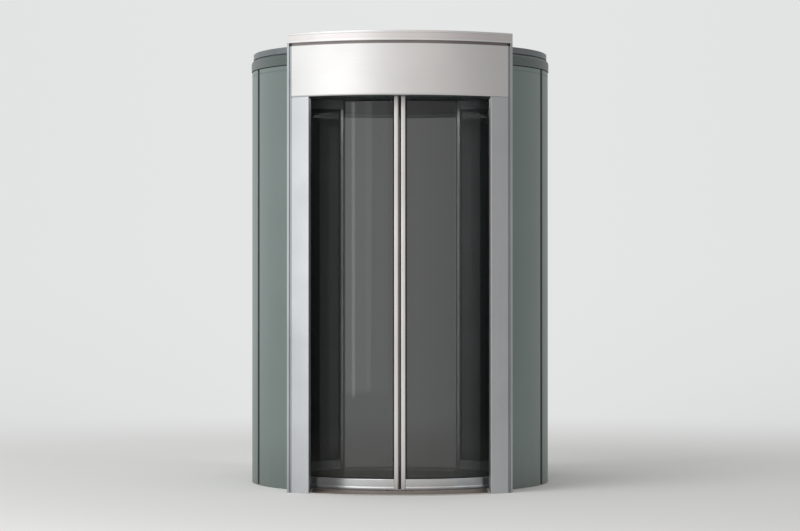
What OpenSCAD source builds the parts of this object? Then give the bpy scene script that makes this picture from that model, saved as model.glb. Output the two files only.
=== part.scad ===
// Circular sliding door: a metal drum with a doorway at the front and at the
// rear, each closed by a pair of curved glazed leaves. The leaves hang from one
// ring rail and turn about the upright axis of the drum. The origin is on the
// floor at that axis, the front faces -Y, and the rear repeats the front.

/* [Drum] */
// Outer diameter of the drum
drum_d = 2175; // [2100:5:2250]
// Thickness of the curved side walls
wall_t = 70; // [60:2:80]
// Thickness of the outer wall panels
panel_t = 25; // [15:1:35]
// Height of the headers above the floor
drum_h = 3108; // [3050:1:3200]
// Distance from the top of the headers down to the top of the rim band
rim_drop = 24; // [16:1:30]
// Height of the rim band round the top of the walls
rim_h = 81; // [60:1:100]
// How far the rim band stands proud of the wall panels
rim_out = 5; // [2:1:8]
// Angle from the front to the sunk joint in each side wall
joint_at = 70; // [64:1:74]

/* [Portals] */
// Width over the two edge posts
portal_w = 1572; // [1540:2:1600]
// Clear width between the jambs
door_w = 1260; // [1200:2:1270]
// Radius of the convex face of a portal
face_r = 1320; // [1250:10:1500]
// Distance from the drum axis to the face at the edge posts
corner_y = 1012; // [990:2:1040]
// Face width of an edge post
post_w = 16; // [14:1:24]
// Width of the shadow joint between an edge post and its jamb
post_gap = 16; // [10:1:20]
// Width of the narrow joints between panels
seam = 4; // [3:1:6]
// Clear height under the header
clear_h = 2753; // [2740:1:2780]
// Height of the recessed neck above the header
neck_h = 20; // [15:1:30]
// Height of the crown band
crown_h = 69; // [50:1:80]

/* [Leaves] */
// Radius of the circle on which the leaves run
leaf_r = 958; // [952:1:962]
// Depth of a leaf frame from its inner to its outer face
leaf_t = 44; // [40:2:48]
// Face width of the stile at the leading edge
stile_w = 29; // [24:1:34]
// Height of the bottom rail of a leaf
rail_h = 70; // [60:1:80]
// Height of the bottom edge of a leaf above the floor
leaf_z = 20; // [18:1:24]
// Height of the lower edge of the top rail
head_rail_z = 2793; // [2785:1:2805]
// Thickness of the curved glass
glass_t = 10; // [8:1:12]
// Angle by which each rear leaf stands open
rear_open = 27; // [0:1:38]

/* [Floor] */
// Thickness of the sills and of the floor rings
threshold_h = 8; // [7:1:10]
// Thickness of the entrance mat
mat_h = 7; // [5:1:7]

/* [Hidden] */
$fn = 360;

drum_r = drum_d / 2;
rim_r = drum_r + rim_out;
rim_top = drum_h - rim_drop;
rim_z = rim_top - rim_h;
collar_r = drum_r - 10;
collar_z = rim_top + seam;
panel_gap = 6;
joint_w = 50;
joint_d = 10;
trim_h = 38;
trim_groove = 3;
rim_round = 28;
wall_in_r = drum_r - wall_t;
panel_in_r = drum_r - panel_t;
portal_x = portal_w / 2;
door_x = door_w / 2;
face_cy = sqrt(face_r * face_r - portal_x * portal_x) - corner_y;
roof_t = 30;
roof_z = drum_h - roof_t;
neck_z = drum_h + neck_h;
crown_d = 60;
neck_in = 20;
fascia_t = 25;
seam_d = 12;
post_x = portal_x - post_w;
panel_x = post_x - post_gap;
edge = 3;
post_edge = 2;
drip_h = 8;
drip_d = 4;
crown_out = 6;
crown_lip = 15;
crown_channel = 4;

leaf_in_r = leaf_r - leaf_t / 2;
leaf_out_r = leaf_r + leaf_t / 2;
leaf_top = 2913;
trail_w = 40;
meet_gap = 2.5;
meet_seal = 8;
leaf_lap = 60;
glass_bite = 6;
glass_play = 0.5;

ring_in_r = 905;
slot_w = 14;
slot_in_r = leaf_r - slot_w / 2;
slot_out_r = leaf_r + slot_w / 2;
sill_x = door_x - 4;
sill_in = 3;
sill_frame = 12;
sill_pocket = 3;
anchor_r = 925;
anchor_d = 14;
anchors = 8;

ceiling_r = 912;
ceiling_z = 2868;
ceiling_t = 18;
upstand_t = 12;
rail_z = 2968;
flange_w = 40;
flange_t = 8;
web_t = 10;
far = 3000;

// Angles are measured from the front, so 90 is the right-hand side
function arc_deg(length, r) = length / r * 180 / PI;
function at_angle(r, a) = [r * sin(a), -r * cos(a)];

lead_a = arc_deg(meet_gap, leaf_r);
seal_a = arc_deg(meet_gap + meet_seal, leaf_r);
stile_a = arc_deg(meet_gap + meet_seal + stile_w, leaf_r);
trail_a = asin(door_x / leaf_r) + arc_deg(leaf_lap, leaf_r);
trail_in_a = trail_a - arc_deg(trail_w, leaf_r);

// Pie slice that cuts a ring down to the stretch from a0 to a1
module slice(a0, a1) {
    polygon([[0, 0], for (k = [0:4]) at_angle(far, a0 + (a1 - a0) * k / 4)]);
}

module ring(r0, r1) {
    difference() {
        circle(r = r1);
        circle(r = r0);
    }
}

// Upright piece bent to the circle of the drum
module bent(r0, r1, a0, a1, z0, z1) {
    translate([0, 0, z0])
        linear_extrude(z1 - z0)
            intersection() {
                ring(r0, r1);
                slice(a0, a1);
            }
}

// Turns a front piece into its rear twin, and a right piece into its left twin
module rear(on) {
    if (on) mirror([0, 1, 0]) children();
    else children();
}

module left(on) {
    if (on) mirror([1, 0, 0]) children();
    else children();
}

// Plan of a portal, bounded by its convex face and the drum behind it
module portal_plan(inset, x0, x1, back_r) {
    intersection() {
        difference() {
            translate([0, face_cy]) circle(r = face_r - inset);
            circle(r = back_r);
        }
        translate([x0, -far]) square([x1 - x0, far]);
    }
}

// Strip that follows the convex face of a portal
module face_strip(inset, depth, half_w) {
    intersection() {
        translate([0, face_cy]) ring(face_r - inset - depth, face_r - inset);
        translate([-half_w, -far]) square([2 * half_w, far - corner_y / 2]);
    }
}

module anchor_holes() {
    for (k = [0:anchors - 1])
        rotate((k + 0.5) * 360 / anchors)
            translate([anchor_r, 0, -1])
                cylinder(h = threshold_h + 2, d = anchor_d, $fn = 48);
}

module floor_mat() {
    color("dimgray") cylinder(h = mat_h, r = ring_in_r - 2);
}

// Ring that the leaves circle on, split by the slot for their guide pins
module slotted_ring(out_r) {
    ring(ring_in_r, slot_in_r);
    ring(slot_out_r, out_r);
}

module floor_ring(is_left) {
    color("slategray") left(is_left)
        difference() {
            linear_extrude(threshold_h)
                intersection() {
                    slotted_ring(wall_in_r);
                    translate([door_x - 2, -far]) square([far, 2 * far]);
                }
            anchor_holes();
        }
}

// Sill from the guide slot to the face of the portal, with a pocket for its
// infill, and the piece of floor ring inside the slot
module threshold(is_rear) {
    color("rosybrown") rear(is_rear)
        difference() {
            linear_extrude(threshold_h)
                union() {
                    portal_plan(sill_in, -sill_x, sill_x, slot_out_r);
                    intersection() {
                        ring(ring_in_r, slot_in_r);
                        translate([-sill_x, -far]) square([2 * sill_x, far]);
                    }
                }
            translate([0, 0, threshold_h - sill_pocket])
                linear_extrude(threshold_h)
                    portal_plan(sill_in + sill_frame, sill_frame - sill_x, sill_x - sill_frame, slot_out_r + sill_frame);
            anchor_holes();
        }
}

// Stretch of the side wall between the jambs of the two portals
module wall_plan(r0, r1) {
    intersection() {
        ring(r0, r1);
        translate([post_x, -far]) square([far, 2 * far]);
    }
}

// Two curved panels between a post and the middle of the side wall, with a
// sunk joint profile between them and a narrow groove near their top edge
module wall_panels(is_left, is_rear) {
    color("darkseagreen") left(is_left) rear(is_rear)
        difference() {
            linear_extrude(rim_z - seam)
                difference() {
                    intersection() {
                        wall_plan(panel_in_r, drum_r);
                        translate([0, -far]) square([far, far - panel_gap / 2]);
                    }
                    rotate(joint_at - 90)
                        translate([drum_r - joint_d, -joint_w / 2]) square([wall_t, joint_w]);
                }
            translate([0, 0, rim_z - trim_h])
                linear_extrude(trim_groove) ring(drum_r - trim_groove, drum_r + 1);
        }
}

module wall_lining(is_left) {
    color("darkslategray") left(is_left)
        linear_extrude(roof_z) wall_plan(wall_in_r, panel_in_r);
}

// Rim band with a well rounded top edge
module wall_rim(is_left) {
    color("lightgray") left(is_left)
        intersection() {
            rotate_extrude()
                difference() {
                    translate([panel_in_r, rim_z]) square([panel_t + rim_out, rim_h]);
                    translate([rim_r - rim_round, rim_top - rim_round])
                        difference() {
                            square(2 * rim_round);
                            circle(r = rim_round, $fn = 48);
                        }
                }
            translate([post_x, -far, 0]) cube([far, 2 * far, 2 * far]);
        }
}

// Plan of an upright of the portal with its two front edges broken
module eased_plan(x0, x1, back_r, edge) {
    difference() {
        portal_plan(0, x0, x1, back_r);
        for (x = [x0, x1])
            translate([x, face_cy - sqrt(face_r * face_r - x * x)])
                rotate(45) square(edge * sqrt(2), center = true);
    }
}

// Closed jamb casing; its face stops short of the header by a seam and of the
// post by the wider shadow joint
module jamb(is_left, is_rear) {
    color("gainsboro") left(is_left) rear(is_rear)
        union() {
            linear_extrude(clear_h - seam) eased_plan(door_x, panel_x, wall_in_r, edge);
            linear_extrude(clear_h) portal_plan(seam_d, door_x, post_x, wall_in_r);
        }
}

// Slim edge post in front of the wall, with a notch at the back for the rim band
module post(is_left, is_rear) {
    color("whitesmoke") left(is_left) rear(is_rear)
        union() {
            linear_extrude(neck_z) eased_plan(post_x, portal_x, rim_r, post_edge);
            linear_extrude(rim_z) eased_plan(post_x, portal_x, drum_r, post_edge);
        }
}

// Curved fascia with a sloping drip edge; its ends step back behind the joints
module header(is_rear) {
    back_r = face_r - fascia_t;
    color("gainsboro") rear(is_rear) translate([0, face_cy, 0])
        difference() {
            intersection() {
                rotate_extrude()
                    polygon([[back_r, clear_h], [face_r - drip_d, clear_h], [face_r, clear_h + drip_h],
                             [face_r, drum_h - edge], [face_r - edge, drum_h], [back_r, drum_h]]);
                translate([-post_x, -far, 0]) cube([2 * post_x, far - face_r / 2, 2 * far]);
            }
            difference() {
                for (x = [panel_x, -panel_x - far]) translate([x, -far, 0]) cube([far, far, 2 * far]);
                cylinder(h = 2 * far, r = face_r - seam_d);
            }
        }
}

module soffit(is_rear) {
    color("gray") rear(is_rear)
        translate([0, 0, clear_h + 8])
            linear_extrude(18)
                portal_plan(fascia_t, -door_x, door_x, leaf_out_r + 12);
}

module neck(is_rear) {
    color("dimgray") rear(is_rear)
        translate([0, 0, drum_h])
            linear_extrude(neck_h)
                portal_plan(neck_in, -post_x, post_x, collar_r);
}

// Crown band with a shallow channel along its face
module crown_band(is_rear) {
    color("silver") rear(is_rear)
        translate([0, 0, neck_z])
            difference() {
                linear_extrude(crown_h) face_strip(-crown_out, crown_d, portal_x);
                translate([0, 0, crown_lip])
                    linear_extrude(crown_h - 2 * crown_lip)
                        face_strip(-crown_out - 1, crown_channel + 1, portal_x + 1);
            }
}

// Roof disc with a collar that rises to the crown bands
module roof() {
    color("gray")
        rotate_extrude()
            polygon([[0, roof_z], [panel_in_r, roof_z], [panel_in_r, collar_z],
                     [collar_r, collar_z], [collar_r, neck_z], [0, neck_z]]);
}

// Shallow pan that hangs below the roof, inside the ring of leaves
module ceiling() {
    color("dimgray")
        difference() {
            translate([0, 0, ceiling_z]) cylinder(h = roof_z - ceiling_z, r = ceiling_r);
            translate([0, 0, ceiling_z + ceiling_t]) cylinder(h = roof_z - ceiling_z, r = ceiling_r - upstand_t);
        }
}

// T-shaped rail bent to a full circle, fixed under the roof
module ring_rail() {
    color("silver")
        rotate_extrude()
            union() {
                translate([leaf_r - web_t / 2, rail_z]) square([web_t, roof_z - rail_z]);
                translate([leaf_r - flange_w / 2, rail_z]) square([flange_w, flange_t]);
            }
}

// Two roller carriages by which a leaf hangs on the lower flange of the rail
module carriage() {
    plate_t = 5;
    plate_r = flange_w / 2 + 7;
    length = 110;
    roller_d = 22;
    roller_w = 16;
    under = rail_z - 14;
    top = rail_z + flange_t + roller_d + 8;
    half = plate_r + plate_t;
    translate([0, -leaf_r, 0]) {
        difference() {
            translate([-length / 2, -half, leaf_top - 1])
                cube([length, 2 * half, top - leaf_top + 1]);
            translate([-length, -plate_r, under])
                cube([2 * length, 2 * plate_r, top]);
        }
        for (s = [-1, 1], x = [-30, 30])
            translate([x, s * (plate_r + 1), rail_z + flange_t + roller_d / 2 + 1])
                rotate([s * 90, 0, 0])
                    cylinder(h = roller_w + 1, d = roller_d, $fn = 48);
    }
}

// Pin that runs in the guide slot of the floor
module guide_pin() {
    pin_d = 8;
    pin_z = 2.5;
    translate([0, -leaf_r, pin_z])
        cylinder(h = leaf_z - pin_z + 2, d = pin_d, $fn = 48);
}

module leaf_frame(is_left, is_rear, open) {
    color("lightsteelblue") left(is_left) rear(is_rear) rotate(open)
        union() {
            difference() {
                bent(leaf_in_r, leaf_out_r, seal_a, trail_a, leaf_z, leaf_top);
                bent(leaf_in_r - leaf_t, leaf_out_r + leaf_t, stile_a, trail_in_a, leaf_z + rail_h, head_rail_z);
                glass_pane(glass_play);
            }
            for (a = [8, trail_a - 8]) rotate(a) carriage();
            for (a = [5, trail_a - 5]) rotate(a) guide_pin();
        }
}

// Curved pane, grown by play where it cuts its own groove in the frame
module glass_pane(play) {
    bite = arc_deg(glass_bite + play, leaf_r);
    bent(leaf_r - glass_t / 2 - play, leaf_r + glass_t / 2 + play,
         stile_a - bite, trail_in_a + bite,
         leaf_z + rail_h - glass_bite - play, head_rail_z + glass_bite + play);
}

module leaf_glass(is_left, is_rear, open) {
    color("lightblue", 0.4) left(is_left) rear(is_rear) rotate(open) glass_pane(0);
}

// Rubber lip on the leading edge and two brushes under the bottom rail
module leaf_seal(is_left, is_rear, open) {
    brush_t = 6;
    brush_h = leaf_z - threshold_h - 5;
    brush_gap = 8;
    color("black") left(is_left) rear(is_rear) rotate(open)
        union() {
            bent(leaf_r - 16, leaf_r + 16, lead_a, seal_a, leaf_z, leaf_top);
            for (r = [leaf_r - brush_gap - brush_t, leaf_r + brush_gap])
                bent(r, r + brush_t, seal_a, trail_a, leaf_z - brush_h, leaf_z);
        }
}

floor_mat();
floor_ring(true);  // left_floor_ring
floor_ring(false);  // right_floor_ring
threshold(false);  // front_threshold
threshold(true);  // rear_threshold
wall_panels(true, false);  // left_front_wall_panels
wall_panels(true, true);  // left_rear_wall_panels
wall_panels(false, false);  // right_front_wall_panels
wall_panels(false, true);  // right_rear_wall_panels
wall_lining(true);  // left_wall_lining
wall_lining(false);  // right_wall_lining
wall_rim(true);  // left_wall_rim
wall_rim(false);  // right_wall_rim
jamb(true, false);  // front_left_jamb
jamb(false, false);  // front_right_jamb
jamb(true, true);  // rear_left_jamb
jamb(false, true);  // rear_right_jamb
post(true, false);  // front_left_post
post(false, false);  // front_right_post
post(true, true);  // rear_left_post
post(false, true);  // rear_right_post
header(false);  // front_header
header(true);  // rear_header
soffit(false);  // front_soffit
soffit(true);  // rear_soffit
neck(false);  // front_neck
neck(true);  // rear_neck
crown_band(false);  // front_crown_band
crown_band(true);  // rear_crown_band
roof();
ceiling();
ring_rail();
leaf_frame(true, false, 0);  // front_left_leaf_frame
leaf_frame(false, false, 0);  // front_right_leaf_frame
leaf_frame(true, true, rear_open);  // rear_left_leaf_frame
leaf_frame(false, true, rear_open);  // rear_right_leaf_frame
leaf_glass(true, false, 0);  // front_left_leaf_glass
leaf_glass(false, false, 0);  // front_right_leaf_glass
leaf_glass(true, true, rear_open);  // rear_left_leaf_glass
leaf_glass(false, true, rear_open);  // rear_right_leaf_glass
leaf_seal(true, false, 0);  // front_left_leaf_seal
leaf_seal(false, false, 0);  // front_right_leaf_seal
leaf_seal(true, true, rear_open);  // rear_left_leaf_seal
leaf_seal(false, true, rear_open);  // rear_right_leaf_seal
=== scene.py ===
"""Circular sliding door: a drum of satin aluminium with a convex portal front and
rear, each closed by a pair of curved glazed leaves hung from one ring rail.
The sections follow the door as it is put together, from the floor to the roof,
then the leaves, and the studio at the end. Everything is in metres."""

import math

import bmesh
import bpy
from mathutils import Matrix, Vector


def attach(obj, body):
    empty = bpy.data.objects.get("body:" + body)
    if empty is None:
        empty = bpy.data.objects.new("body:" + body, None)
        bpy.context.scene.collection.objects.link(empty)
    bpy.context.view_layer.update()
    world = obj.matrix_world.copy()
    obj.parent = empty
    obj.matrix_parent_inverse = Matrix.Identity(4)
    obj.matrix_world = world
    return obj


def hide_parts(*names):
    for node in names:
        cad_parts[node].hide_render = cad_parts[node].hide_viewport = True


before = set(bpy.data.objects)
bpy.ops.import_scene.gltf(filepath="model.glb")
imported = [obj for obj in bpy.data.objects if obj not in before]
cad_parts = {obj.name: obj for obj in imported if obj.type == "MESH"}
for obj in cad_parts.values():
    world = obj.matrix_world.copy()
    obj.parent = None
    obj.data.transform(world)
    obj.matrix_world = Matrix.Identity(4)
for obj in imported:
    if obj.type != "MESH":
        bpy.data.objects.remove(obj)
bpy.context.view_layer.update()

scene = bpy.context.scene


# Entrance mat
# Closed construction matting: aluminium scraper bars with carpet inserts between
# them, laid loose in a round well with a stainless edge ring.

WELL_R = 0.903
EDGE_R = 0.8995
MAT_R = 0.899
MAT_TOP = 0.007
WELL_T = 0.001
BAR_PITCH = 0.030
BAR_W = 0.006
BARS = 59


def colour(code):
    """sRGB hex code to the linear colour that a socket takes."""
    parts = [int(code[i:i + 2], 16) / 255 for i in (1, 3, 5)]
    return [c / 12.92 if c <= 0.04045 else ((c + 0.055) / 1.055) ** 2.4 for c in parts] + [1.0]


def add(tree, kind, inputs=(), **settings):
    """Adds one node; kind leaves out "ShaderNode". An input is named by its place, name or
    identifier and given as a socket, a node whose first output is meant, or a plain value."""
    node = tree.nodes.new(kind if "Node" in kind else "ShaderNode" + kind)
    for name, value in settings.items():
        setattr(node, name, value)
    for key, value in dict(inputs).items():
        if isinstance(key, int) or key in node.inputs:
            socket = node.inputs[key]
        else:
            socket = next(s for s in node.inputs if s.identifier == key)
        if isinstance(value, bpy.types.Node):
            value = value.outputs[0]
        if isinstance(value, bpy.types.NodeSocket):
            tree.links.new(value, socket)
        else:
            socket.default_value = value
    return node


def calc(tree, operation, *values):
    """Math node on up to three values."""
    return add(tree, "Math", dict(enumerate(values)), operation=operation)


def axis(tree, where, letter):
    """One coordinate of a place."""
    return add(tree, "SeparateXYZ", {0: where}).outputs[letter]


def noise(tree, where, scale, detail=2.0):
    """Cloudy pattern; scale is the number of patches per metre."""
    return add(tree, "TexNoise", {"Vector": where, "Scale": scale, "Detail": detail})


def remap(tree, value, old=(0.0, 1.0), new=(0.0, 1.0), **settings):
    """A value brought from its old range to a new one."""
    return add(tree, "MapRange", {
        "Value": value, "From Min": old[0], "From Max": old[1],
        "To Min": new[0], "To Max": new[1]}, **settings)


def shade(tree, share, *ends):
    """Colour between two others, each a hex code or the socket that another call gave."""
    a, b = (colour(end) if isinstance(end, str) else end for end in ends)
    mix = add(tree, "Mix", {"Factor_Float": share, "A_Color": a, "B_Color": b}, data_type="RGBA")
    return mix.outputs[2]


def finish_with(name, build):
    """Material whose nodes build() adds; build gets the tree and returns the shader's sockets."""
    material = bpy.data.materials.new(name)
    material.use_nodes = True
    tree = material.node_tree
    tree.nodes.clear()
    place = add(tree, "TexCoord").outputs["Object"]
    shader = add(tree, "BsdfPrincipled", build(tree, place))
    add(tree, "OutputMaterial", {"Surface": shader})
    return material


def metal(name, light, dark, rough, grain, metallic=1.0, film=0.25, bump=0.06):
    """Metal with a drawn or brushed grain. grain scales the pattern per metre along X, Y and Z,
    so the small number is the grain's own direction; film is how far dirt darkens the foot."""
    def build(tree, place):
        lines = add(tree, "Mapping", {"Vector": place, "Scale": grain})
        streak = noise(tree, lines, 1.0)
        cloud = noise(tree, place, 2.3, 4.0)
        both = calc(tree, "MULTIPLY_ADD", streak, 0.35, cloud)
        share = remap(tree, both, (0.45, 0.9))
        tone = shade(tree, share, dark, light)
        low = remap(tree, axis(tree, place, "Z"), (0.0, 0.2), (film, 0.0))
        patch = noise(tree, place, 14.0, 5.0)
        dirt = calc(tree, "MULTIPLY", low, patch)
        worn = shade(tree, dirt, tone, "#6b655c")
        matt = remap(tree, both, (0.45, 0.9), (rough + 0.05, rough - 0.04))
        relief = add(tree, "Bump", {"Strength": bump, "Distance": 0.0004, "Height": streak})
        return {"Base Color": worn, "Metallic": metallic, "Roughness": matt, "Normal": relief}
    return finish_with(name, build)


def skin(rows, closed=False):
    """Points and faces of a solid skinned over equal outlines; unless closed, the first and the
    last outline are end faces."""
    count = len(rows[0])
    faces = []
    for i in range(len(rows) if closed else len(rows) - 1):
        a, b = i * count, (i + 1) % len(rows) * count
        faces += [(a + j, a + (j + 1) % count, b + (j + 1) % count, b + j) for j in range(count)]
    if not closed:
        faces += [tuple(range(count)), tuple(range((len(rows) - 1) * count, len(rows) * count))]
    return [p for row in rows for p in row], faces


def piece(name, body, material, solids, replaces=()):
    """One object of closed solids: faces outward, smooth where it curves, crisp at its edges."""
    mesh = bpy.data.meshes.new(name)
    points, faces = [], []
    for some, sides in solids:
        faces += [tuple(len(points) + i for i in side) for side in sides]
        points += [tuple(p) for p in some]
    mesh.from_pydata(points, [], faces)
    work = bmesh.new()
    work.from_mesh(mesh)
    bmesh.ops.recalc_face_normals(work, faces=work.faces)
    work.to_mesh(mesh)
    work.free()
    placed(name, body, material, mesh, replaces)


def placed(name, body, material, mesh, replaces=(), sharp=34):
    """Shades a finished mesh, gives it its material and lets it ride on its body."""
    if len(mesh.materials) == 0:
        mesh.materials.append(material)
    mesh.polygons.foreach_set("use_smooth", [True] * len(mesh.polygons))
    mesh.set_sharp_from_angle(angle=math.radians(sharp))
    made = bpy.data.objects.new(name, mesh)
    scene.collection.objects.link(made)
    weigh = made.modifiers.new("flat faces stay flat", "WEIGHTED_NORMAL")
    weigh.keep_sharp = True
    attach(made, body)
    if replaces:
        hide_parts(*replaces)
    return made


def full_turn(steps=180):
    """Equal angles round the drum's axis."""
    return [2 * math.pi * k / steps for k in range(steps)]


def disc(*edges):
    """Round plate about the drum's axis, given by its edges as (radius, height)."""
    return skin([[(r * math.sin(a), -r * math.cos(a), z) for a in full_turn()] for r, z in edges])


def turned_ring(profile):
    """Solid of revolution about the drum's axis, from a closed profile of (radius, height)."""
    rows = [[(r * math.sin(a), -r * math.cos(a), z) for r, z in profile] for a in full_turn()]
    return skin(rows, closed=True)


def size_tree(name, build, lengths, counts=()):
    """Geometry Nodes tree with named inputs; build gets the tree and its inputs and returns the
    last geometry."""
    tree = bpy.data.node_groups.new(name, "GeometryNodeTree")
    sockets = [("Geometry", "Geometry"), *((label, "Float") for label in lengths),
               *((label, "Int") for label in counts), ("Finish", "Material")]
    for label, kind in sockets:
        tree.interface.new_socket(label, in_out="INPUT", socket_type="NodeSocket" + kind)
    tree.interface.new_socket("Geometry", in_out="OUTPUT", socket_type="NodeSocketGeometry")
    given = tree.nodes.new("NodeGroupInput").outputs
    real = add(tree, "GeometryNodeRealizeInstances", {0: build(tree, given)})
    done = add(tree, "GeometryNodeSetMaterial", {"Geometry": real, "Material": given["Finish"]})
    add(tree, "NodeGroupOutput", {0: done})
    return tree


def grown(name, body, tree, sizes, material, start=None):
    """Runs a tree with its sizes set by socket identifier and keeps what it makes as a mesh."""
    seed = bpy.data.objects.new(name + "_start", start or bpy.data.meshes.new(name + "_start"))
    scene.collection.objects.link(seed)
    nodes = seed.modifiers.new("tree", "NODES")
    nodes.node_group = tree
    for item in tree.interface.items_tree:
        if item.in_out == "INPUT" and item.name in sizes:
            nodes[item.identifier] = sizes[item.name]
        if item.in_out == "INPUT" and item.name == "Finish":
            nodes[item.identifier] = material
    seed.data.update()
    scene_now = bpy.context.evaluated_depsgraph_get()
    mesh = bpy.data.meshes.new_from_object(seed.evaluated_get(scene_now))
    seed.modifiers.remove(nodes)
    bpy.data.objects.remove(seed)
    mesh.name = name
    return placed(name, body, material, mesh)


def build_strips(tree, given):
    """Bars across a disc: each end corner lies on the disc's circle."""
    span = calc(tree, "MULTIPLY_ADD", given["Count"], -0.5, 0.5)
    first = calc(tree, "MULTIPLY", span, given["Pitch"])
    start = add(tree, "CombineXYZ", {"Y": first, "Z": given["Middle Height"]})
    step = add(tree, "CombineXYZ", {"Y": given["Pitch"]})
    line = add(tree, "GeometryNodeMeshLine", {
        "Count": given["Count"], "Start Location": start, "Offset": step})
    size = add(tree, "CombineXYZ", {"X": 1.0, "Y": given["Width"], "Z": given["Depth"]})
    bar = add(tree, "GeometryNodeMeshCube", {"Size": size, "Vertices Y": given["Lengthwise Edges"]})
    bars = add(tree, "GeometryNodeInstanceOnPoints", {"Points": line, "Instance": bar})
    solid = add(tree, "GeometryNodeRealizeInstances", {0: bars})
    at = add(tree, "SeparateXYZ", {0: add(tree, "GeometryNodeInputPosition")})
    x, y, z = at.outputs
    y2 = calc(tree, "MULTIPLY", y, y)
    r2 = calc(tree, "MULTIPLY", given["Radius"], given["Radius"])
    rest = calc(tree, "SUBTRACT", r2, y2)
    half = calc(tree, "SQRT", rest)
    side = calc(tree, "SIGN", x)
    reach = calc(tree, "MULTIPLY", side, half)
    spot = add(tree, "CombineXYZ", {"X": reach, "Y": y, "Z": z})
    return add(tree, "GeometryNodeSetPosition", {"Geometry": solid, "Position": spot})


strip_tree = size_tree(
    "strips across a round well", build_strips,
    ("Radius", "Pitch", "Width", "Depth", "Middle Height"), ("Count", "Lengthwise Edges"))

# Anodised scraper bars: worn bright on top, so a little lighter than the frames.
scraper_metal = metal("anodised aluminium scraper bar", "#b9bab8", "#8d8e8b", 0.38,
                      (4, 400, 400), film=0.5)

# Stainless edge: brushed round the circle, cooler and harder than aluminium.
stainless = metal("brushed stainless steel", "#b4b5b3", "#8f908e", 0.33, (90, 90, 90), film=0.5)


def build_carpet(tree, place):
    """Tufted polyamide insert: charcoal yarn with lighter flecks and sand trodden into it."""
    yarn = noise(tree, place, 420.0)
    fleck = remap(tree, yarn, (0.35, 0.7))
    sand = noise(tree, place, 5.0, 6.0)
    trodden = remap(tree, sand, (0.45, 0.75), (0.0, 0.5))
    clean = shade(tree, fleck, "#2b2c2d", "#4a4a49")
    used = shade(tree, trodden, clean, "#5c564d")
    pile = add(tree, "Bump", {"Strength": 0.6, "Distance": 0.002, "Height": yarn})
    return {"Base Color": used, "Roughness": 0.95, "Sheen Weight": 0.15, "Normal": pile}


carpet = finish_with("charcoal polyamide carpet insert", build_carpet)

grown("matting_scraper_bars", "casing", strip_tree, {
    "Radius": MAT_R, "Pitch": BAR_PITCH, "Width": BAR_W, "Depth": MAT_TOP - WELL_T,
    "Middle Height": (MAT_TOP + WELL_T) / 2, "Count": BARS, "Lengthwise Edges": 2},
    scraper_metal)
grown("matting_carpet_inserts", "casing", strip_tree, {
    "Radius": MAT_R - 0.001, "Pitch": BAR_PITCH, "Width": BAR_PITCH - BAR_W - 0.001,
    "Depth": MAT_TOP - 0.002, "Middle Height": MAT_TOP / 2, "Count": BARS - 1,
    "Lengthwise Edges": 5}, carpet)
piece("matting_well_and_edge_ring", "casing", stainless, [
    disc((EDGE_R - 0.001, 0.0), (EDGE_R - 0.001, WELL_T)),
    turned_ring([(WELL_R, 0.0), (WELL_R, MAT_TOP), (EDGE_R, MAT_TOP), (EDGE_R, 0.0)])],
    replaces=["floor_mat"])


# Floor rings and sills
# The leaves circle over a stainless ring with a slot for their guide pins. The
# sill fills the lens from the ring to the portal face: a metal frame with a worn
# ribbed tread plate let into it, screwed down at the rim.

DEG = math.pi / 180
# The portal's face is an arc of radius FACE_R about (0, FACE_CY), between corners at PORTAL_X.
FACE_R = 1.320
PORTAL_X, PORTAL_Y = 0.786, -1.012
FACE_CY = math.sqrt(FACE_R ** 2 - PORTAL_X ** 2) + PORTAL_Y
SILL_TOP = 0.008
TREAD_X = 0.612
TREAD_BACK = 0.979
TREAD_FACE = FACE_R - 0.017
SILL_SCREW_R, SILL_SCREW_STEP = 0.971, 8.2
RIM_SCREW_R, RIM_SCREW_STEP = FACE_R - 0.009, 0.145
RING_SCREW_R = (0.937, 0.990)
RING_SCREWS, RING_SIDE = 32, 0.70
RIBS, RIB_H, TREAD_T = 16, 0.0014, 0.0018
ENDS = ("front", "rear")
SIDES = ("left", "right")


def polar(r, a):
    """Plan point at radius r and angle a in degrees, measured from the front towards the right."""
    return r * math.sin(a * DEG), -r * math.cos(a * DEG)


def smooth_copy(node, material):
    """The node's own shape as one merged mesh, which shades smoothly and takes the node's place."""
    work = bmesh.new()
    work.from_mesh(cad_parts[node].data)
    bmesh.ops.remove_doubles(work, verts=work.verts, dist=1e-5)
    bmesh.ops.dissolve_limit(work, angle_limit=0.1 * DEG, verts=work.verts, edges=work.edges)
    mesh = bpy.data.meshes.new(node + "_finished")
    work.to_mesh(mesh)
    work.free()
    placed(node + "_finished", "casing", material, mesh, [node], 30)


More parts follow.
